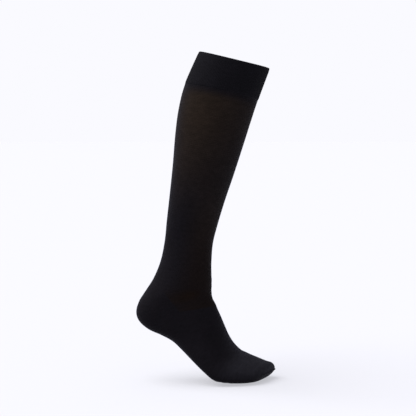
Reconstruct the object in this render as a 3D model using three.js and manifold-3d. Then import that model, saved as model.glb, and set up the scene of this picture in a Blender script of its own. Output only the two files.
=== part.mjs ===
// Knee-high compression stocking for a right leg, in the form it has when it is worn: the heel is
// raised and the foot stands on its ball and toes. It is knitted as one tube in five zones, and each
// zone is a solid of its own: top band, leg, heel pocket, foot and toe cap.
// Millimetres. +X points to the toes, +Y to the big toe's side and +Z up. The origin is the middle of
// the top band, which holds the stocking up.

import * as THREE from "three";
import { mergeVertices } from "three/addons/utils/BufferGeometryUtils.js";
import Module from "manifold-3d";

// Walls: the band is a turned hem of two layers, and heel and toe are knitted with a splicing yarn.
const BAND_WALL = 2.0;
const LEG_WALL = 1.2;
const FOOT_WALL = 1.4;
const SPLICED_WALL = 1.6;

// The fabric zones stop this far apart where a knitted line or a seam joins them.
const SEAM_GAP = 0.3;

// The turned edge at the top rises by this share of the band's wall.
const TURN_RISE = 0.4;

const POINTS_AROUND = 44;

// How far apart the rings of points lie along each zone.
const RING_PITCH = { band: 17, leg: 16, heel: 10, foot: 11, toe: 6 };

// The toe cap's inside ends this share of a row before its seam.
const TOE_INSIDE_SHORT = 0.35;

// The tube's cross-sections from the knee to the toe tip, in millimetres.
// frontX, frontZ: where the section meets the shin, instep and toe line in side view.
// backX, backZ: where it meets the calf, heel and sole line.
// width: from side to side. side: how far the middle lies towards the big toe's side.
// egg: how much narrower the front is than the back, as a share of the width.
// flat: how flat the back is, from 0 for an ellipse to 1 for a square sole.
// crest: how far the front's ridge lies towards the big toe's side.
// lag: degrees by which the little toe's side stays behind.
// rise: how much higher the sides lie than the front and the back.
const COLUMNS = [
  "frontX", "frontZ", "backX", "backZ", "width", "side", "egg", "flat", "crest", "lag", "rise",
];
const SECTIONS = {
  //             frontX  frontZ   backX   backZ  width  side   egg  flat  crest  lag  rise
  "top edge":    [  61.6,    9.3,  -43.4,   34.7,   100,    0, 0.05,    0,     0,   0, -1.4],
  "band foot":   [  44.5,    -37,  -64.3,  -12.8,   105,    1, 0.08,    0,     0,   0,  2.2],
  "full calf":   [  33.5,  -70.5,  -73.8,    -49,   107,    2,  0.1,    0,     0,   0,    1],
  "mid calf":    [  22.5, -105.5,  -78.9,    -86,   105,    3, 0.12,    0,     0,   0,    0],
  "low calf":    [   8.6, -148.5,  -82.9,   -133,    96,    4, 0.12,    0,     0,   0,    0],
  "high shank":  [  -4.3, -186.5,  -87.2,   -174,    84,    5,  0.1,    0,     0,   0,    0],
  "low shank":   [ -15.6,   -224,    -92,   -216,    71,    7, 0.06,    0,     0,   0,    0],
  "slim ankle":  [ -22.5,   -252,  -95.2,   -247,    62,    8,    0,    0,     0,   0,    0],
  "ankle":       [ -24.7,   -279, -101.5,   -278,    62,    9,    0,    0,     0,   0,    0],
  "tendon":      [ -24.7,   -298,   -112,   -304,    66,    9,    0,    0,     0,   0,    0],
  "over heel":   [ -24.4,   -312, -124.5,   -324,    69,    9,    0,  0.1,     0,   0,    0],
  "heel back":   [ -24.7,   -322, -134.5,   -340,    69,    9, 0.03,  0.2,     0,   0,    0],
  "heel":        [ -24.2,   -330, -138.6,   -356,    68,    9, 0.06, 0.25,     0,   0,    0],
  "heel turn":   [ -22.3,   -337,   -134, -369.5,    67,    9, 0.08,  0.3,     0,   0,    0],
  "heel base":   [ -18.5,   -344,   -120, -381.5,    67,    9,  0.1, 0.35,     0,   0,    0],
  "heel front":  [ -15.3,   -352,   -102, -389.5,    67,    9, 0.12,  0.4,     0,   0,    0],
  "arch":        [ -10.5,   -363,    -84,   -399,    68,    9, 0.14,  0.5,     3,   0,    0],
  "instep":      [    -5, -377.5,    -67, -413.5,    71,    9, 0.15,  0.6,     5,   4,    0],
  "low instep":  [     0, -391.5,  -49.5,   -429,    76,    8, 0.15,  0.7,     7,   8,    0],
  "behind ball": [   6.5,   -405,  -31.5, -443.5,    82,    8, 0.14,  0.8,     9,  12,    0],
  "ball":        [  14.5,   -416,    -12,   -456,    87,    8, 0.12,  0.9,    10,  16,    0],
  "toe roots":   [    27,   -423,     10,   -460,    88,    9, 0.08,  0.9,     9,  19,    0],
  "toes":        [    39, -428.5,     27,   -461,    86,   10, 0.05,  0.9,     7,  21,    0],
  "toe front":   [  49.5, -433.5,     42,   -461,    80,   11, 0.02,  0.8,     5,  23,    0],
  "toe curve":   [  58.5,   -438,     54,   -459,    70,   11,    0,  0.5,     3,  24,    0],
  "toe seam":    [  64.5, -445.5,   63.5,   -451,    42,   12,    0,    0,     1,  24,    0],
};
const ROW_NAMES = Object.keys(SECTIONS);
const LAST_ROW = ROW_NAMES.length - 1;
const row = (name) => ROW_NAMES.indexOf(name);

// The heel pocket's corner in side view, and where the three knitted lines that start there reach
// the back of the ankle, the instep and the sole.
const HEEL_CORNER = new THREE.Vector2(-72, -352);
const LINE_ENDS = {
  back: new THREE.Vector2(-112, -302),
  instep: new THREE.Vector2(-21, -346),
  sole: new THREE.Vector2(-96, -392),
};

// A smooth run of up to three of the table's columns, for u counted in rows.
function run(...columns) {
  const points = Object.values(SECTIONS).map(
    (section) => new THREE.Vector3(...columns.map((name) => section[COLUMNS.indexOf(name)])),
  );
  const curve = new THREE.CatmullRomCurve3(points, false, "catmullrom", 0.5);
  return (u) => curve.getPoint(u / LAST_ROW).toArray();
}
const frontAt = run("frontX", "frontZ", "crest");
const backAt = run("backX", "backZ", "lag");
const widthAt = run("width", "egg", "side");
const flatAt = run("flat", "rise");

// A point of the outside. The angle runs from the front (0) by the big toe's side (a quarter turn)
// to the back (half a turn).
function outside(u, angle) {
  const [frontX, frontZ, crest] = frontAt(u);
  const [backX, backZ, lag] = backAt(u);
  const [width, egg, side] = widthAt(u);
  const [flat, rise] = flatAt(u);
  const power = Math.cos(angle) < 0 ? 1 / (1 + flat) : 1;
  const rounded = (value) => Math.sign(value) * Math.abs(value) ** power;
  const ahead = rounded(Math.cos(angle));
  const y = (width / 2) * rounded(Math.sin(angle)) * (1 - egg * ahead) + crest * Math.max(ahead, 0) ** 2;
  return new THREE.Vector3(
    (frontX + backX + ahead * (frontX - backX)) / 2 + y * Math.tan(THREE.MathUtils.degToRad(lag)),
    y + side,
    (frontZ + backZ + ahead * (frontZ - backZ)) / 2 + rise * (1 - ahead ** 2),
  );
}

// The direction out of the cloth there, from two short steps along and around the tube.
function outward(u, angle) {
  const step = 0.02;
  const along = outside(Math.min(u + step, LAST_ROW), angle).sub(outside(Math.max(u - step, 0), angle));
  const around = outside(u, angle + step).sub(outside(u, angle - step));
  return along.cross(around).normalize();
}

// A ring of points at row u, so deep under the outside.
function ring(u, depth) {
  return Array.from({ length: POINTS_AROUND }, (_, i) => {
    const angle = (2 * Math.PI * i) / POINTS_AROUND;
    return outside(u, angle).addScaledVector(outward(u, angle), -depth);
  });
}

// Rings from row u0 to row u1, about a pitch apart along the back and so deep under the outside.
function rings(u0, u1, pitch, depth) {
  const knots = [u0, ...ROW_NAMES.keys().filter((i) => i > u0 && i < u1), u1];
  const result = [];
  knots.slice(1).forEach((to, i) => {
    const from = knots[i];
    const steps = Math.max(1, Math.round(outside(from, Math.PI).distanceTo(outside(to, Math.PI)) / pitch));
    for (let k = 0; k < steps; k++) result.push(ring(THREE.MathUtils.lerp(from, to, k / steps), depth));
  });
  return [...result, ring(u1, depth)];
}

// The triangles between two rings, which start at these places in the list of vertices.
function sleeve(a, b) {
  return Array.from({ length: POINTS_AROUND }, (_, i) => {
    const next = (i + 1) % POINTS_AROUND;
    return [a + i, b + next, a + next, a + i, b + i, b + next];
  }).flat();
}

// The triangles that close a flattened ring: its front row is sewn to its back row.
function slit(start, facesOut) {
  const quarter = POINTS_AROUND / 4;
  const at = (i) => start + ((i + POINTS_AROUND) % POINTS_AROUND);
  const triangles = [];
  for (let i = -quarter; i < quarter; i++) {
    const corners = [at(i), at(i + 1), at(2 * quarter - i - 1), at(2 * quarter - i)];
    if (i > -quarter) triangles.push([corners[0], corners[2], corners[3]]);
    if (i < quarter - 1) triangles.push([corners[0], corners[1], corners[2]]);
  }
  return triangles.flatMap((t) => (facesOut ? t.reverse() : t));
}

// A closed wall from rings that run down its outside and rings that run down its inside. It is a
// tube, or a cap whose last rings are closed slits. The turned ring rounds the top edge.
function wall(outer, inner, { capped = false, turned = [] } = {}) {
  const loop = [...outer, ...inner.toReversed(), ...turned];
  const positions = loop.flat().flatMap((point) => point.toArray());
  const triangles = loop.flatMap((_, i) => {
    if (capped && i === outer.length - 1) return [];
    return sleeve(i * POINTS_AROUND, ((i + 1) % loop.length) * POINTS_AROUND);
  });
  if (capped) {
    triangles.push(...slit((outer.length - 1) * POINTS_AROUND, true));
    triangles.push(...slit(outer.length * POINTS_AROUND, false));
  }
  const geometry = new THREE.BufferGeometry();
  geometry.setAttribute("position", new THREE.Float32BufferAttribute(positions, 3));
  geometry.setIndex(triangles);
  return geometry;
}

// How much of a row SEAM_GAP is at row u.
function gapAt(u) {
  const middle = (at) => outside(at, Math.PI / 2).lerp(outside(at, -Math.PI / 2), 0.5);
  return SEAM_GAP / middle(u - 0.5).distanceTo(middle(u + 0.5));
}

const wasm = await Module();
wasm.setup();

function toSolid(geometry) {
  const bare = new THREE.BufferGeometry();
  bare.setAttribute("position", geometry.getAttribute("position"));
  if (geometry.index) bare.setIndex(geometry.index);
  const merged = mergeVertices(bare, 1e-3);
  const vertProperties = merged.getAttribute("position").array;
  return new wasm.Manifold(new wasm.Mesh({ numProp: 3, vertProperties, triVerts: merged.index.array }));
}

function toGeometry(solid) {
  const { vertProperties, triVerts } = solid.getMesh();
  const geometry = new THREE.BufferGeometry();
  geometry.setAttribute("position", new THREE.BufferAttribute(vertProperties, 3));
  geometry.setIndex(new THREE.BufferAttribute(triVerts, 1));
  return geometry;
}

// A prism right across the stocking from its outline in side view.
function prism(outline) {
  const across = 400;
  const flat = new THREE.ExtrudeGeometry(new THREE.Shape(outline), { depth: across, bevelEnabled: false });
  return toSolid(flat.translate(0, 0, -across / 2).rotateX(Math.PI / 2));
}

// The part of the side view between two of the lines from the heel corner, short of both by half a gap.
function sector(from, to) {
  const reach = 1000;
  const towards = (end) => LINE_ENDS[end].clone().sub(HEEL_CORNER).normalize();
  const tip = (end) => HEEL_CORNER.clone().addScaledVector(towards(end), reach);
  const blade = (end) => {
    const half = new THREE.Vector2(-towards(end).y, towards(end).x).multiplyScalar(SEAM_GAP / 2);
    const start = HEEL_CORNER.clone().addScaledVector(towards(end), -SEAM_GAP / 2);
    return prism([
      start.clone().sub(half),
      tip(end).sub(half),
      tip(end).add(half),
      start.clone().add(half),
    ]);
  };
  return prism([HEEL_CORNER, tip(from), tip(to)]).subtract(blade(from)).subtract(blade(to));
}

// One zone of the tube between two rows, kept where it lies in its sector of the side view.
function zone(u0, u1, pitch, thickness, from, to) {
  const tube = wall(rings(u0, u1, pitch, 0), rings(u0, u1, pitch, thickness));
  return toGeometry(toSolid(tube).intersect(sector(from, to)));
}

function topBand() {
  const end = row("band foot");
  const outer = rings(0, end, RING_PITCH.band, 0);
  const inner = rings(0, end, RING_PITCH.band, BAND_WALL);
  const turn = outside(0, 0).sub(outside(end, 0)).setLength(TURN_RISE * BAND_WALL);
  const turned = ring(0, BAND_WALL / 2).map((point) => point.add(turn));
  return wall(outer, inner, { turned: [turned] });
}

function leg() {
  const start = row("band foot") + gapAt(row("band foot"));
  return zone(start, row("heel front"), RING_PITCH.leg, LEG_WALL, "instep", "back");
}

function heelPocket() {
  return zone(row("ankle"), row("low instep"), RING_PITCH.heel, SPLICED_WALL, "back", "sole");
}

function foot() {
  return zone(row("over heel"), row("toe roots"), RING_PITCH.foot, FOOT_WALL, "sole", "instep");
}

function toeCap() {
  const start = row("toe roots") + gapAt(row("toe roots"));
  const outer = rings(start, LAST_ROW, RING_PITCH.toe, 0);
  const inner = rings(start, LAST_ROW - TOE_INSIDE_SHORT, RING_PITCH.toe, SPLICED_WALL);
  return wall(outer, inner, { capped: true });
}

const KNIT = {
  band: new THREE.MeshStandardMaterial({ color: "#16161b", roughness: 0.9, metalness: 0 }),
  leg: new THREE.MeshStandardMaterial({ color: "#1c1918", roughness: 0.8, metalness: 0 }),
  foot: new THREE.MeshStandardMaterial({ color: "#17171b", roughness: 0.85, metalness: 0 }),
  spliced: new THREE.MeshStandardMaterial({ color: "#18181d", roughness: 0.9, metalness: 0 }),
};

function piece(name, geometry, material) {
  const mesh = new THREE.Mesh(geometry, material);
  mesh.name = name;
  return mesh;
}

const stocking = new THREE.Group();
stocking.add(
  piece("top_band", topBand(), KNIT.band),
  piece("leg", leg(), KNIT.leg),
  piece("heel_pocket", heelPocket(), KNIT.spliced),
  piece("foot", foot(), KNIT.foot),
  piece("toe_cap", toeCap(), KNIT.spliced),
);

export default stocking;
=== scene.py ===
import bisect
import math

import bmesh
import bpy
from mathutils import Matrix, Vector


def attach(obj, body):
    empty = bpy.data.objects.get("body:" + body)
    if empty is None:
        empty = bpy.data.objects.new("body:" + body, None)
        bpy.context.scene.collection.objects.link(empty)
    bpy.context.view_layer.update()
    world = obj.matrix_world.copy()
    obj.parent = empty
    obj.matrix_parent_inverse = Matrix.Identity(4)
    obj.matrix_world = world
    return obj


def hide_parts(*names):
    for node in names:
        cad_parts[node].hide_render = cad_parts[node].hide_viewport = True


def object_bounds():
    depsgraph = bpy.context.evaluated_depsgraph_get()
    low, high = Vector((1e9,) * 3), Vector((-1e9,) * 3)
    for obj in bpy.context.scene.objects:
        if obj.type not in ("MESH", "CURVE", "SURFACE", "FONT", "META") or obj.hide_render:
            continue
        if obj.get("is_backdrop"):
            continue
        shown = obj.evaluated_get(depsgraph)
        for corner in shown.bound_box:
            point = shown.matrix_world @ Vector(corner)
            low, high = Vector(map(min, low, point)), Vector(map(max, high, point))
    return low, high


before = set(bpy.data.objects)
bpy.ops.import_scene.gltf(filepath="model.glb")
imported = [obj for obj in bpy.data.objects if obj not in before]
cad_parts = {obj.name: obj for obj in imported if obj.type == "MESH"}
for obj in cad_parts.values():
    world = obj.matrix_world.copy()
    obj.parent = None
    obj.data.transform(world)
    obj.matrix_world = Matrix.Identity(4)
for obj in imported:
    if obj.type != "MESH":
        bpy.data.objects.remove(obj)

cad_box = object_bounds()

# --- Top band ---------------------------------------------------------------------------------
# The welt that grips below the knee: two layers of fine ribbed knit in covered elastic yarn,
# black, 5 cm deep. The knitting machine starts with it, turns it over at the upper edge and
# hooks its two layers together in one row of loops at its foot.

# The worn form, as the cloth's outside at 26 places down the leg and along the foot. Each row
# holds its front point (x, z), its back point (x, z), the width, how far its middle lies to the
# big toe's side, by what share the back is wider and the front narrower, by what share the back
# is flattened, how far the ridge of the front lies to the big toe's side, how many degrees the
# little toe's side lags behind, and how far its sides lie above its ends. All but the two shares
# and the degrees are in millimetres.
FORM = {
    "top edge": (61.6, 9.3, -43.4, 34.7, 100, 0, 0.05, 0, 0, 0, -1.4),
    "band foot": (44.5, -37, -64.3, -12.8, 105, 1, 0.08, 0, 0, 0, 2.2),
    "full calf": (33.5, -70.5, -73.8, -49, 107, 2, 0.1, 0, 0, 0, 1),
    "mid calf": (22.5, -105.5, -78.9, -86, 105, 3, 0.12, 0, 0, 0, 0),
    "low calf": (8.6, -148.5, -82.9, -133, 96, 4, 0.12, 0, 0, 0, 0),
    "high shank": (-4.3, -186.5, -87.2, -174, 84, 5, 0.1, 0, 0, 0, 0),
    "low shank": (-15.6, -224, -92, -216, 71, 7, 0.06, 0, 0, 0, 0),
    "slim ankle": (-22.5, -252, -95.2, -247, 62, 8, 0, 0, 0, 0, 0),
    "ankle": (-24.7, -279, -101.5, -278, 62, 9, 0, 0, 0, 0, 0),
    "tendon": (-24.7, -298, -112, -304, 66, 9, 0, 0, 0, 0, 0),
    "over heel": (-24.4, -312, -124.5, -324, 69, 9, 0, 0.1, 0, 0, 0),
    "heel back": (-24.7, -322, -134.5, -340, 69, 9, 0.03, 0.2, 0, 0, 0),
    "heel": (-24.2, -330, -138.6, -356, 68, 9, 0.06, 0.25, 0, 0, 0),
    "heel turn": (-22.3, -337, -134, -369.5, 67, 9, 0.08, 0.3, 0, 0, 0),
    "heel base": (-18.5, -344, -120, -381.5, 67, 9, 0.1, 0.35, 0, 0, 0),
    "heel front": (-15.3, -352, -102, -389.5, 67, 9, 0.12, 0.4, 0, 0, 0),
    "arch": (-10.5, -363, -84, -399, 68, 9, 0.14, 0.5, 3, 0, 0),
    "instep": (-5, -377.5, -67, -413.5, 71, 9, 0.15, 0.6, 5, 4, 0),
    "low instep": (0, -391.5, -49.5, -429, 76, 8, 0.15, 0.7, 7, 8, 0),
    "behind ball": (6.5, -405, -31.5, -443.5, 82, 8, 0.14, 0.8, 9, 12, 0),
    "ball": (14.5, -416, -12, -456, 87, 8, 0.12, 0.9, 10, 16, 0),
    "toe roots": (27, -423, 10, -460, 88, 9, 0.08, 0.9, 9, 19, 0),
    "toes": (39, -428.5, 27, -461, 86, 10, 0.05, 0.9, 7, 21, 0),
    "toe front": (49.5, -433.5, 42, -461, 80, 11, 0.02, 0.8, 5, 23, 0),
    "toe curve": (58.5, -438, 54, -459, 70, 11, 0, 0.5, 3, 24, 0),
    "toe seam": (64.5, -445.5, 63.5, -451, 42, 12, 0, 0, 1, 24, 0),
}
ROWS = list(FORM)
MM = 0.001


def row(name):
    return ROWS.index(name)


def form_at(u):
    """The form's eleven sizes at a place between two of its rows, on a smooth run through all."""
    table = list(FORM.values())
    k = min(max(math.floor(u), 0), len(table) - 2)
    t = u - k
    b, c = table[k], table[k + 1]
    a = table[k - 1] if k > 0 else [2 * p - q for p, q in zip(b, c)]
    d = table[k + 2] if k + 2 < len(table) else [2 * q - p for p, q in zip(b, c)]
    return [
        q + t / 2 * (r - p + t * (2 * p - 5 * q + 4 * r - s + t * (3 * q - 3 * r + s - p)))
        for p, q, r, s in zip(a, b, c, d)
    ]


def point_on(sizes, angle):
    """A point of one ring: angle 0 is the front and a quarter turn the big toe's side."""
    front_x, front_z, back_x, back_z, width, side, egg, flat, crest, lag, rise = sizes
    power = 1 / (1 + flat) if math.cos(angle) < 0 else 1
    ahead = math.copysign(abs(math.cos(angle)) ** power, math.cos(angle))
    aside = math.copysign(abs(math.sin(angle)) ** power, math.sin(angle))
    y = width / 2 * aside * (1 - egg * ahead) + crest * max(ahead, 0) ** 2
    return MM * Vector((
        (front_x + back_x + ahead * (front_x - back_x)) / 2 + y * math.tan(math.radians(lag)),
        y + side,
        (front_z + back_z + ahead * (front_z - back_z)) / 2 + rise * (1 - ahead**2),
    ))


def outside(u, angle):
    return point_on(form_at(u), angle)


def outward(u, angle, step=0.02):
    """The direction out of the cloth there."""
    last = len(ROWS) - 1
    along = outside(min(u + step, last), angle) - outside(max(u - step, 0), angle)
    around = outside(u, angle + step) - outside(u, angle - step)
    return along.cross(around).normalized()


def even_angles(u, steps=240):
    """For one ring, the angle at each share of the way around it, counted from the back."""
    sizes = form_at(u)
    angles = [math.pi + 2 * math.pi * i / steps for i in range(steps + 1)]
    points = [point_on(sizes, a) for a in angles]
    gone = [0.0]
    for p, q in zip(points, points[1:]):
        gone.append(gone[-1] + (q - p).length)

    def angle(share):
        way = min(max(share, 0), 1) * gone[-1]
        k = min(max(bisect.bisect_right(gone, way) - 1, 0), steps - 1)
        return angles[k] + (angles[k + 1] - angles[k]) * (way - gone[k]) / (gone[k + 1] - gone[k])

    return angle


def round_knit(wales, courses, place):
    """A flat grid with a wale to each column and a course to each row. place(course, shares)
    gives the points of one row and, from 0 to 1, how far the colour turns where the loops are
    pulled open and where light is painted, and the two long edges are joined to a tube."""
    knit = bmesh.new()
    knit.loops.layers.uv.new("knit")
    opened_and_painted_light = knit.verts.layers.float.new("opened_and_painted_light")
    bmesh.ops.create_grid(knit, x_segments=wales, y_segments=courses, size=0.5, calc_uvs=True)
    by_course = {}
    for v in knit.verts:
        by_course.setdefault(round((v.co.y + 0.5) * courses), []).append(v)
    for course, verts in by_course.items():
        shares = [v.co.x + 0.5 for v in verts]
        for v, (point, stretch_and_painted_light) in zip(verts, place(course / courses, shares)):
            v.co = point
            v[opened_and_painted_light] = stretch_and_painted_light
    bmesh.ops.remove_doubles(knit, verts=knit.verts, dist=1e-6)
    return knit


def make_piece(name, knit, finish, node):
    """The finished cloth as an object on the body, which stands for a node of the frame."""
    bmesh.ops.recalc_face_normals(knit, faces=knit.faces)
    for edge in knit.edges:
        edge.smooth = not edge.is_boundary
    mesh = bpy.data.meshes.new(name)
    knit.to_mesh(mesh)
    knit.free()
    mesh.materials.append(finish)
    mesh.polygons.foreach_set("use_smooth", [True] * len(mesh.polygons))
    made = bpy.data.objects.new(name, mesh)
    bpy.context.collection.objects.link(made)
    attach(made, "root")
    if node:
        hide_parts(node)
    return made


def srgb(text):
    """A linear colour from its sRGB hex value."""
    parts = [int(text[i:i + 2], 16) / 255 for i in (1, 3, 5)]
    return [*(p / 12.92 if p <= 0.04045 else ((p + 0.055) / 1.055) ** 2.4 for p in parts), 1]


def add(tree, kind, *values, named=(), **settings):
    """A node with its settings. Its inputs are values, sockets or nodes, in order or by name."""
    node = tree.nodes.new("ShaderNode" + kind)
    for key, value in settings.items():
        setattr(node, key, value)
    for key, value in {**dict(enumerate(values)), **dict(named)}.items():
        if isinstance(value, bpy.types.Node):
            value = value.outputs[0]
        if isinstance(value, bpy.types.NodeSocket):
            tree.links.new(value, node.inputs[key])
        else:
            node.inputs[key].default_value = value
    return node


JOIN_WIDE = 2.2  # mm, the raised row of drawn loops at a knitted join
JOIN_STITCH = 2.2  # mm, the length of one of its loops
INLAY = 0.12  # of a loop's height, how far the inlaid elastic stands
PATCH = 33  # mm, how large the soft patches of uneven yarn are
CALF_FOOT = -200  # mm, the height where the cloth's opened colour begins to turn to the ankle's
ANKLE = -290  # mm, where it has turned


def knitted_nylon(
        name, girth, length, loop_size, wave_size, yarn, opened_and_painted_light, relief, ripple, sheen, lines=()):
    """Knitted nylon and covered elastic. Girth and length are those of the worn tube that the
    piece is cut from, in millimetres. Loop_size is how wide a loop is drawn at that girth and how
    high on average, and wave_size is the same for the cloth's soft cross waves. Yarn is its
    colour where the loops lie close, and opened are its colours at the calf and at the ankle:
    where the loops are pulled open, and where light is painted, a warm tint over the shin for the
    cool light on the back of the leg and a highlight over the tops of the toes. Relief is the
    height of a loop and ripple that of the waves. Lines are the knitted joins: a point, a
    direction across and one along."""
    finish = bpy.data.materials.new(name)
    finish.use_nodes = True
    tree = finish.node_tree
    tree.nodes.clear()
    places = add(tree, "TexCoord")
    solid = places.outputs["Object"]
    counts = (round(girth / loop_size[0]), 2 * round(length / loop_size[1] / 2), 1)
    loops = add(tree, "SeparateXYZ", add(
        tree, "VectorMath", places.outputs["UV"], counts, operation="MULTIPLY"))

    # A loop is two legs that lean together: its courses are sheared up to the middle of a wale.
    wale = add(tree, "Math", loops.outputs["X"], operation="FRACT")
    middle = add(tree, "Math", wale, 0.5, operation="SUBTRACT")
    from_middle = add(tree, "Math", middle, operation="ABSOLUTE")
    course = add(tree, "Math", loops.outputs["Y"], from_middle, operation="ADD")
    in_course = add(tree, "Math", course, operation="FRACT")
    over_strand = add(tree, "Math", in_course, math.pi, operation="MULTIPLY")
    strand = add(tree, "Math", over_strand, operation="SINE")
    over_leg = add(tree, "Math", from_middle, 2 * math.pi, operation="MULTIPLY")
    side = add(tree, "Math", over_leg, operation="SINE")
    round_strand = add(tree, "Math", strand, 0.7, operation="POWER")
    round_side = add(tree, "Math", side, 0.6, operation="POWER")
    loop = add(tree, "Math", round_strand, round_side, operation="MULTIPLY")

    # The inlaid elastic lies in every other course and shows as a faint rib across.
    over_inlay = add(tree, "Math", loops.outputs["Y"], math.pi, operation="MULTIPLY")
    inlay = add(tree, "Math", over_inlay, operation="SINE")
    knit = add(tree, "Math", inlay, INLAY, loop, operation="MULTIPLY_ADD")

    # The joins: a raised row of drawn loops along each line.
    for at, across, along in lines:
        from_line = add(tree, "VectorMath", solid, at, operation="SUBTRACT")
        off = add(tree, "VectorMath", from_line, across, operation="DOT_PRODUCT").outputs["Value"]
        way = add(tree, "VectorMath", from_line, along, operation="DOT_PRODUCT").outputs["Value"]
        distance = add(tree, "Math", off, operation="ABSOLUTE")
        near = add(tree, "MapRange", distance, named={
            "From Min": 0, "From Max": JOIN_WIDE / 2 * MM, "To Min": 1, "To Max": 0})
        over_stitch = add(tree, "Math", way, math.pi / (JOIN_STITCH * MM), operation="MULTIPLY")
        swing = add(tree, "Math", over_stitch, operation="SINE")
        stitch = add(tree, "Math", swing, operation="ABSOLUTE")
        raised = add(tree, "Math", stitch, 0.3, operation="ADD")
        knit = add(tree, "Math", near, raised, knit, operation="MULTIPLY_ADD")

    # Uneven yarn and pull: soft patches, and waves that are longer along the courses than across.
    # Both are chosen. The wave sizes have so many digits because the pattern shifts with
    # them, not because they were measured.
    patch = add(tree, "TexNoise", solid, named={"Scale": 1 / (PATCH * MM), "Detail": 3})
    stretched = add(tree, "Mapping", places.outputs["UV"], named={
        "Scale": (girth / wave_size[0], length / wave_size[1], 1)})
    wave = add(tree, "TexNoise", stretched, named={"Scale": 1, "Detail": 2})
    height = add(tree, "SeparateXYZ", solid).outputs["Z"]
    down = add(tree, "MapRange", height, named={
        "From Min": CALF_FOOT * MM, "From Max": ANKLE * MM})
    # Where the loops are pulled open the colour turns warmer, and on the same mask light is
    # painted: a warm tint over the shin, for the cool light on the back of the leg, and a
    # highlight over the tops of the toes.
    warm = add(tree, "Mix", down, named={6: srgb(opened_and_painted_light[0]), 7: srgb(opened_and_painted_light[1])}, data_type="RGBA")
    pull_and_painted_light = add(tree, "Attribute", attribute_name="opened_and_painted_light").outputs["Fac"]
    yarn_colour_and_painted_light = add(tree, "Mix", pull_and_painted_light, named={6: srgb(yarn), 7: warm.outputs[2]}, data_type="RGBA")
    patchy = add(tree, "Math", patch, 0.5, 0.75, operation="MULTIPLY_ADD")
    wavy = add(tree, "Math", wave, 0.8, 0.6, operation="MULTIPLY_ADD")
    # Painted shade and highlight: the colour is darker in the gaps between the loops and lighter
    # on their backs.
    loop_shade = add(tree, "Math", loop, 0.4, 0.8, operation="MULTIPLY_ADD")
    uneven = add(tree, "Math", patchy, wavy, operation="MULTIPLY")
    tone_and_loop_shade = add(tree, "Math", uneven, loop_shade, operation="MULTIPLY")
    colour = add(tree, "VectorMath", yarn_colour_and_painted_light.outputs[2], named={"Scale": tone_and_loop_shade}, operation="SCALE")

    # Yarn is dull between the loops and has a soft gloss on their backs. The specular level is
    # set far under nylon's own, to match how little the real cloth shines.
    rough = add(tree, "MapRange", loop, named={"To Min": 0.88, "To Max": 0.68})
    waves = add(tree, "Bump", named={"Strength": 0.6, "Distance": ripple * MM, "Height": wave})
    bump = add(tree, "Bump", named={
        "Strength": 0.6, "Distance": relief * MM, "Height": knit, "Normal": waves})
    shader = add(tree, "BsdfPrincipled", named={
        "Base Color": colour, "Roughness": rough, "IOR": 1.5, "Specular IOR Level": 0.038,
        "Sheen Weight": sheen, "Sheen Roughness": 0.3, "Sheen Tint": srgb("#d9d9ff"),
        "Normal": bump})
    add(tree, "OutputMaterial", shader)
    return finish


BAND_WALL = 2.0  # mm, both layers
BAND_PROUD = 0.35  # mm that the two layers puff out past the form
TURN_RISE = 0.45  # of the wall, how far the rounded edge stands up
RIBS = 144  # a 1 and 1 rib on 400 needles has 200 of 1.7 mm, drawn here 2.3 mm wide to show
RIB_COLUMNS = 6  # of the grid, to a rib
RIB_SWING = 0.12  # mm, so a rib stands twice that, 0.24 mm, above its grooves
FADE_AT_FOOT = 0.06  # of the outside's height, over which ribs and puff die out
FADE_AT_TURN = 0.1

# A welt folds over a rounded edge and comes down inside. The ribs flatten towards the turn and
# the row of loops that closes the welt. Each part of the way has its number of grid rows.
BAND_WAY = [("outside", 30), ("turn", 6), ("inside", 14), ("foot", 4)]


def band_ring(way, shares):
    step = way * sum(n for _, n in BAND_WAY)
    for part, count in BAND_WAY:
        if step <= count + 1e-6:
            break
        step -= count
    t = step / count
    u = {"outside": 1 - t, "turn": 0, "inside": t, "foot": 1}[part] * row("band foot")
    angle_at = even_angles(u)
    up = (outside(0, 0) - outside(row("band foot"), 0)).normalized()
    for share in shares:
        angle = angle_at(share)
        out = outward(u, angle)
        lift = 0.0
        if part == "outside":
            edge = min(t / FADE_AT_FOOT, 1, (1 - t) / FADE_AT_TURN)
            depth = -BAND_PROUD * math.sin(edge * math.pi / 2)
            depth -= RIB_SWING * edge * math.cos(2 * math.pi * RIBS * share)
        elif part == "turn":
            depth = BAND_WALL / 2 * (1 - math.cos(math.pi * t))
            lift = TURN_RISE * BAND_WALL * math.sin(math.pi * t)
        elif part == "inside":
            depth = BAND_WALL
        else:
            depth = BAND_WALL * (1 - t)
        yield outside(u, angle) - out * depth * MM + up * lift * MM, 0


# Ribbed nylon over elastic: a deep, cool, dull black with fine upright lines. Its loops are drawn
# two to a rib, 1.2 mm wide in place of 0.8 mm, and on the outside 0.75 mm high.
BAND_GIRTH = 337  # mm, at half its height
band_knit = knitted_nylon(
    "welt of ribbed nylon and elastic", girth=BAND_GIRTH, length=104,
    loop_size=(BAND_GIRTH / (2 * RIBS), 0.867), wave_size=(12.2175, 2.86),
    yarn="#0f0e12", opened_and_painted_light=("#0f0e12", "#0f0e12"), relief=0.12, ripple=0.1, sheen=0.015)
top_band = make_piece("top_band_cloth", round_knit(
    RIBS * RIB_COLUMNS, sum(n for _, n in BAND_WAY), band_ring), band_knit, "top_band")

# --- Leg --------------------------------------------------------------------------------------
# The leg of the stocking: one layer of fine plain knit with an elastic yarn inlaid in it, on a
# round machine, without a seam. It is stretched most at the calf, where the black looks warmer
# and lighter, and least at the ankle.

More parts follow.
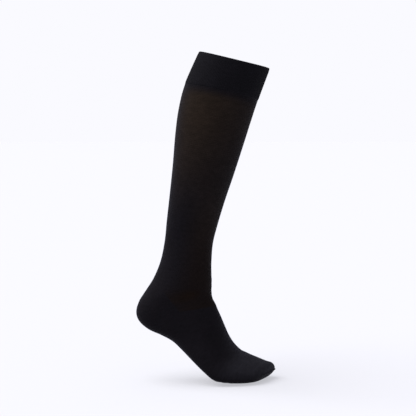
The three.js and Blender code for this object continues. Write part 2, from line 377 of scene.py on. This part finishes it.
# The knitted lines start at the heel's corner, half way through the tube, and run in the plane
# of the leg to where they meet its outline.
HEEL_CORNER = Vector((-72, 0, -352)) * MM
LINE_ENDS = {
    "back": Vector((-112, 0, -302)) * MM,
    "instep": Vector((-21, 0, -346)) * MM,
    "sole": Vector((-96, 0, -392)) * MM,
}
INSTEP_DOWN = Vector((0, 1, 0)).cross(LINE_ENDS["instep"] - HEEL_CORNER).normalized()
LEG_WALL = 1.2  # mm
TUBE_WALES = 150  # columns of the grid, not of the drawn loops
TUBE_COURSES = 210

# Where the cloth rises: its row of the form, its reach along in rows, its angle and its reach
# around in radians, and its rise in millimetres. On the toe cap the rises die out towards the
# seam, so that the big toe's 2.8 mm comes to 1.4 mm at most.
RISES = [
    # folds over the roots and the tops of the toes
    (19.7, 0.35, -0.35, 0.9, 0.8), (20.5, 0.25, -0.1, 0.7, 0.65), (21.2, 0.2, -0.4, 0.5, 0.4),
    (21.9, 0.3, -0.9, 0.4, 0.35), (22.8, 0.25, -0.5, 0.35, 0.3), (23.1, 0.2, -1.3, 0.3, 0.25),
    # the big toe
    (23.9, 0.6, 0.5, 0.7, 2.8),
    # folds low on the little toe's side, by the ball
    (20.2, 0.16, -2.25, 0.35, 0.55), (20.75, 0.14, -2.3, 0.3, 0.6), (21.3, 0.14, -2.2, 0.3, 0.5),
    # folds over the bend of the ankle
    (9.6, 0.25, 0.1, 0.9, 0.25), (10.6, 0.25, -0.1, 0.8, 0.25), (11.6, 0.2, 0, 0.8, 0.2),
]


def crease(u, angle):
    """How far the cloth rises, in millimetres, in its folds and over the big toe."""
    turned = math.remainder(angle, 2 * math.pi)
    return sum(
        rise * math.exp(-(((u - at) / long) ** 2)) * math.exp(-(((turned - a) / wide) ** 2))
        for at, long, a, wide, rise in RISES
    )


def smooth(x, low, high):
    """From 0 at low to 1 at high, on an easy run."""
    t = min(max((x - low) / (high - low), 0), 1)
    return t * t * (3 - 2 * t)


def opening_and_painted_light(u, angle, below_instep):
    """How far the colour turns from the yarn's to the other: most over the sides of its calf,
    where the cloth is pulled open, less over the front of its lower leg, where the warmer tint is
    painted and stands in for the cool light on the back of the leg, over a patch in front of the
    sides of its ankle, and over the tops of its toes, where it is a painted highlight. Places
    along are rows of the form, and places around are degrees from the front."""
    from_front = math.degrees(abs(math.remainder(angle, 2 * math.pi)))
    calf = smooth(u, 1.0, 1.4) * (1 - smooth(u, 1.8, 6.2))
    calf *= 1 - 0.65 * smooth(from_front, 128, 168)
    calf *= 0.4 + 0.6 * smooth(from_front, 20, 120)
    # Painted light: the warmer tint over the front of the lower leg stands in for the cool light
    # that falls on the back of the leg.
    shin = 0.55 * smooth(u, 3.5, 6.5) * (1 - smooth(from_front, 55, 118))
    ankle = 0.9 * math.exp(-(((u - 11.0) / 1.2) ** 2)) * math.exp(-(((from_front - 66) / 36) ** 2))
    # Painted highlight: the lighter grey over the tops of the toes, where the light from above
    # falls.
    toes = smooth(u, 19.0, 21.5) * (1 - smooth(from_front, 75, 125))
    return min(calf + max(shin, ankle) * (1 - smooth(below_instep, -2 * MM, 1 * MM)) + toes, 1)


def tube_ring(way, shares):
    u = row("band foot") + way * (row("toe roots") - row("band foot"))
    angle_at = even_angles(u)
    for share in shares:
        angle = angle_at(share)
        point = outside(u, angle) + outward(u, angle) * crease(u, angle) * MM
        yield point, opening_and_painted_light(u, angle, (point - HEEL_CORNER).dot(INSTEP_DOWN))


def beside(line, inwards):
    """A plane through the heel's corner and the end of a line, facing away from a point."""
    along = (LINE_ENDS[line] - HEEL_CORNER).normalized()
    across = along.cross(Vector((0, 1, 0)))
    return across if across.dot(inwards - HEEL_CORNER) < 0 else -across


def part_between(knit, one, other):
    """A copy of the tube with only what lies between two of the knitted lines."""
    part = knit.copy()
    for line, inner in ((one, other), (other, one)):
        bmesh.ops.bisect_plane(
            part, geom=[*part.verts, *part.edges, *part.faces], dist=1e-6, plane_co=HEEL_CORNER,
            plane_no=beside(line, LINE_ENDS[inner]), clear_outer=True)
    return part


def give_wall(piece, thickness):
    """A wall of that thickness, inwards from the cloth's outside."""
    wall = piece.modifiers.new("wall", "SOLIDIFY")
    wall.thickness = thickness * MM
    wall.offset = -1
    wall.use_even_offset = False


tube = round_knit(TUBE_WALES, TUBE_COURSES, tube_ring)

# Plain knit of nylon with inlaid elastic: a satin black, brown and lighter where it is stretched.
# Over the front of the lower leg its warmer tint is painted, standing in for the cool light that
# falls on the back of the leg.
# The real loops are 0.85 mm wide at the calf, from 400 needles, too fine to show, so they are
# drawn 1.55 mm wide there and 1 mm at the ankle. The tube's courses lie as far apart as the
# form's rows do, so a loop is drawn 1.9 mm high on most of the leg and 0.9 mm on the foot.
TUBE_LENGTH = 479  # mm, from the band to the roots of the toes, the mean of lines all round it
leg_knit = knitted_nylon(
    "plain knit of nylon with inlaid elastic", girth=340, length=TUBE_LENGTH,
    loop_size=(1.55, 1.45), wave_size=(12, 3.4214),
    yarn="#0f0d11", opened_and_painted_light=("#1f1813", "#140c07"), relief=0.15, ripple=0.5, sheen=0.04)
leg = make_piece("leg_cloth", part_between(tube, "back", "instep"), leg_knit, "leg")
give_wall(leg, LEG_WALL)

# --- Heel pocket ------------------------------------------------------------------------------
# The heel: a pocket in plain knit with an extra nylon yarn spliced in, thicker and duller than
# the leg. The machine knits it to and fro on half of its needles, which leaves the two slanting
# lines of drawn loops that meet at its corners.

SPLICED_WALL = 1.6  # mm


def knitted_line(line):
    """A join from the heel's corner: that point, the direction across it and the one along."""
    along = (LINE_ENDS[line] - HEEL_CORNER).normalized()
    return HEEL_CORNER, along.cross(Vector((0, 1, 0))), along


# Plain knit with a spliced yarn: fuller loops, so a duller and more even black. They are drawn
# 1.7 mm wide in place of 0.75 mm, and 0.75 mm high.
spliced_heel = knitted_nylon(
    "spliced plain knit of the heel", girth=297, length=TUBE_LENGTH, loop_size=(1.75, 1.14),
    wave_size=(13.976, 3.4214), yarn="#0f0d11", opened_and_painted_light=("#0f0d11", "#0f0d11"),
    relief=0.18, ripple=0.2, sheen=0.04,
    lines=[knitted_line("back"), knitted_line("sole")])
heel_pocket = make_piece(
    "heel_pocket_cloth", part_between(tube, "back", "sole"), spliced_heel, "heel_pocket")
give_wall(heel_pocket, SPLICED_WALL)

# --- Foot -------------------------------------------------------------------------------------
# The foot: the same plain knit as the leg, a little thicker, from the line over the instep to
# the toes. It goes on all round once the heel is knitted, and lies in small folds where the
# toes bend.

FOOT_WALL = 1.4  # mm

# Plain knit of nylon and elastic, less stretched than the calf: a cool satin black, with a
# painted highlight, a lighter grey, over the tops of the toes, where the light from above falls.
# Its loops are drawn 1.2 mm wide in place of 0.6 mm, and 0.9 mm high.
foot_knit = knitted_nylon(
    "plain knit of the foot", girth=238, length=TUBE_LENGTH, loop_size=(1.19, 1.33),
    wave_size=(11.9, 3.4214), yarn="#0f0d11", opened_and_painted_light=("#1b1a1f", "#1b1a1f"),
    relief=0.15, ripple=0.25, sheen=0.07,
    lines=[knitted_line("instep")])
foot = make_piece("foot_cloth", part_between(tube, "sole", "instep"), foot_knit, "foot")
tube.free()
give_wall(foot, FOOT_WALL)

# --- Toe cap ----------------------------------------------------------------------------------
# The toe: the thicker spliced knit again, narrowed to a rounded end and closed from side to
# side by a linked seam in front of the toes.

TOE_REACH = 0.2  # mm that the closed end stands past the form
TOE_ROUND = 0.9  # of the way, as rings of the form; the rest closes the end
TOE_CLOSING = 0.1
TOE_COURSES = 50  # rows of the grid


def toe_ring(way, shares):
    first, last = row("toe roots"), row("toe seam")
    u = min(first + way * (last - first) / TOE_ROUND, last)
    closing = max(way - TOE_ROUND, 0) / TOE_CLOSING * math.pi / 2
    angle_at = even_angles(u)
    # Towards the seam the wales turn to even angles, so that upper and lower side meet.
    even = max(min((u - first) / (last - first), 1), 0) ** 2
    for share in shares:
        angle = (1 - even) * angle_at(share) + even * (math.pi + 2 * math.pi * share)
        point = outside(u, angle) + outward(u, angle) * crease(u, angle) * MM * (1 - even)
        if closing:
            middle = (point + outside(u, math.pi - angle)) / 2
            point = middle + (point - middle) * math.cos(closing)
            point.x += TOE_REACH * MM * math.sin(closing)
        yield point, opening_and_painted_light(u, angle, 1)


# The upper and the lower side of the closed end lie on each other and are joined there.
SEAM_BEYOND = 50 * MM  # of the open edges, only the end's lies past it
JOIN_DISTANCE = 0.05 * MM
toe = round_knit(TUBE_WALES, TOE_COURSES, toe_ring)
ends = [v for v in toe.verts if v.is_boundary and v.co.x > SEAM_BEYOND]
bmesh.ops.remove_doubles(toe, verts=ends, dist=JOIN_DISTANCE)

# The same spliced knit as the heel's, with a painted highlight, a lighter grey, over the tops of
# the toes, where the light from above falls. Its loops are drawn 1.35 mm wide at the roots of
# the toes, in place of 0.6 mm, and 0.8 mm high.
spliced_toe = knitted_nylon(
    "spliced plain knit of the toe", girth=231, length=55, loop_size=(1.36, 0.785),
    wave_size=(11.647, 2.357), yarn="#0f0d11", opened_and_painted_light=("#1b1a1f", "#1b1a1f"),
    relief=0.18, ripple=0.3, sheen=0.04)
toe_cap = make_piece("toe_cap_cloth", toe, spliced_toe, "toe_cap")
give_wall(toe_cap, SPLICED_WALL)

# --- Toe seam ---------------------------------------------------------------------------------
# The linked seam that closes the toe: a chain of nylon thread through the last loops of the
# upper and the lower side, which stands as a narrow ridge and ends in a small knot each side.

SEAM_RADIUS = 0.5  # mm
STITCHES = 34  # on the seam's 46 mm, 1.35 mm each
STITCH_SWELL = 0.16  # of the radius, the rise and fall of the chain
KNOT_SWELL = 0.2  # of the radius
KNOT_LONG = 0.035  # of the seam's length
END_POWER = 24  # the higher, the blunter the ends
END_LEAST = 0.05  # of the radius, left at the very ends
SEAM_SIDES = 12
SEAM_STEPS = 240


def seam_ring(way, shares):
    angle = -math.pi / 2 * (1 - 2 * way)
    u = row("toe seam")
    at = (outside(u, angle) + outside(u, math.pi - angle)) / 2
    at.x += TOE_REACH * MM
    knots = math.exp(-((way / KNOT_LONG) ** 2)) + math.exp(-(((1 - way) / KNOT_LONG) ** 2))
    round_end = math.sqrt(max(1 - (2 * abs(way - 0.5)) ** END_POWER, 0))
    chain = 1 + STITCH_SWELL * math.cos(2 * math.pi * STITCHES * way)
    radius = SEAM_RADIUS * (chain + KNOT_SWELL * knots) * max(round_end, END_LEAST)
    for share in shares:
        a = 2 * math.pi * share
        yield at + Vector((math.cos(a), 0, math.sin(a))) * radius * MM, 0


# Twisted nylon thread: a shade lighter than the knit. Its strands are drawn as small loops, 0.5
# mm wide and 0.7 mm long, two to a stitch.
seam_thread = knitted_nylon(
    "linking thread of black nylon", girth=3.14, length=46, loop_size=(0.52, 0.676),
    wave_size=(10.467, 3.1625),
    yarn="#141318", opened_and_painted_light=("#141318", "#141318"), relief=0.1, ripple=0.0, sheen=0.04)
seam = round_knit(SEAM_SIDES, SEAM_STEPS, seam_ring)
bmesh.ops.holes_fill(seam, edges=seam.edges)
toe_seam = make_piece("toe_seam", seam, seam_thread, None)

# --- Floor, light and camera ------------------------------------------------------------------
# A plain pale floor under the toes, a sheet of lit white acrylic that softens the shadow, and a
# bright, even studio with one large soft light from behind and above the calf.

FLOOR_HEIGHT = -0.4625  # m, 1.3 mm under the sole, which keeps them apart
FLOOR_RADIUS = 40  # m, so wide that no view shows its edge
ground = bmesh.new()
bmesh.ops.create_circle(
    ground, cap_ends=True, segments=96, radius=FLOOR_RADIUS,
    matrix=Matrix.Translation((0, 0, FLOOR_HEIGHT)))
floor_mesh = bpy.data.meshes.new("floor")
ground.to_mesh(floor_mesh)
ground.free()
floor = bpy.data.objects.new("floor", floor_mesh)
bpy.context.collection.objects.link(floor)
floor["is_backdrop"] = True
pale = bpy.data.materials.new("lit white acrylic floor")
pale.use_nodes = True
pale_shader = pale.node_tree.nodes["Principled BSDF"]
pale_shader.inputs["Base Color"].default_value = srgb("#959599")
pale_shader.inputs["Emission Color"].default_value = srgb("#f8f8ff")
pale_shader.inputs["Emission Strength"].default_value = 0.514
pale_shader.inputs["Roughness"].default_value = 1.0
pale_shader.inputs["Specular IOR Level"].default_value = 0.0
floor_mesh.materials.append(pale)

# The walls and the ceiling of the studio: plain and pale to see, and lighting the cloth most
# from above and from the calf's side.
world = bpy.data.worlds.new("studio")
bpy.context.scene.world = world
world.use_nodes = True
studio = world.node_tree
studio.nodes.clear()
way = add(studio, "SeparateXYZ", add(studio, "TexCoord").outputs["Generated"])
up = add(studio, "MapRange", way.outputs["Z"], named={
    "From Min": 0, "From Max": 1, "To Min": 0.3, "To Max": 0.75})
aside = add(studio, "MapRange", way.outputs["X"], named={
    "From Min": 0.6, "From Max": -1, "To Min": 0, "To Max": 0.45})
lit = add(studio, "Math", up, aside, operation="ADD")
seen = add(studio, "LightPath").outputs["Is Camera Ray"]
strength = add(studio, "Mix", seen, named={2: lit, 3: 1.0})
pale_wall = add(studio, "Background", srgb("#fafaff"), strength)
add(studio, "OutputWorld", pale_wall)

key = bpy.data.objects.new("key light", bpy.data.lights.new("key light", "SUN"))
bpy.context.collection.objects.link(key)
key.data.energy = 3.2
key.data.angle = math.radians(60)
key.rotation_euler = Vector((-0.52, -0.12, 0.85)).to_track_quat("Z", "Y").to_euler()

bpy.context.scene.view_settings.view_transform = "Standard"
bpy.context.scene.view_settings.look = "None"

# The camera looks at the stocking's outer side, from a little above its middle.
CAMERA_AWAY = 1.9  # m
camera = bpy.data.objects.new("camera", bpy.data.cameras.new("camera"))
bpy.context.collection.objects.link(camera)
aim = Vector((-0.030, 0, -0.198))
lift = math.radians(3.5)
camera.location = aim + CAMERA_AWAY * Vector((0, -math.cos(lift), math.sin(lift)))
camera.rotation_euler = (aim - camera.location).to_track_quat("-Z", "Y").to_euler()
camera.data.sensor_width = 36
camera.data.lens = 109.6
bpy.context.scene.camera = camera

boxes = [[list(map(float, corner)) for corner in box] for box in (cad_box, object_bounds())]
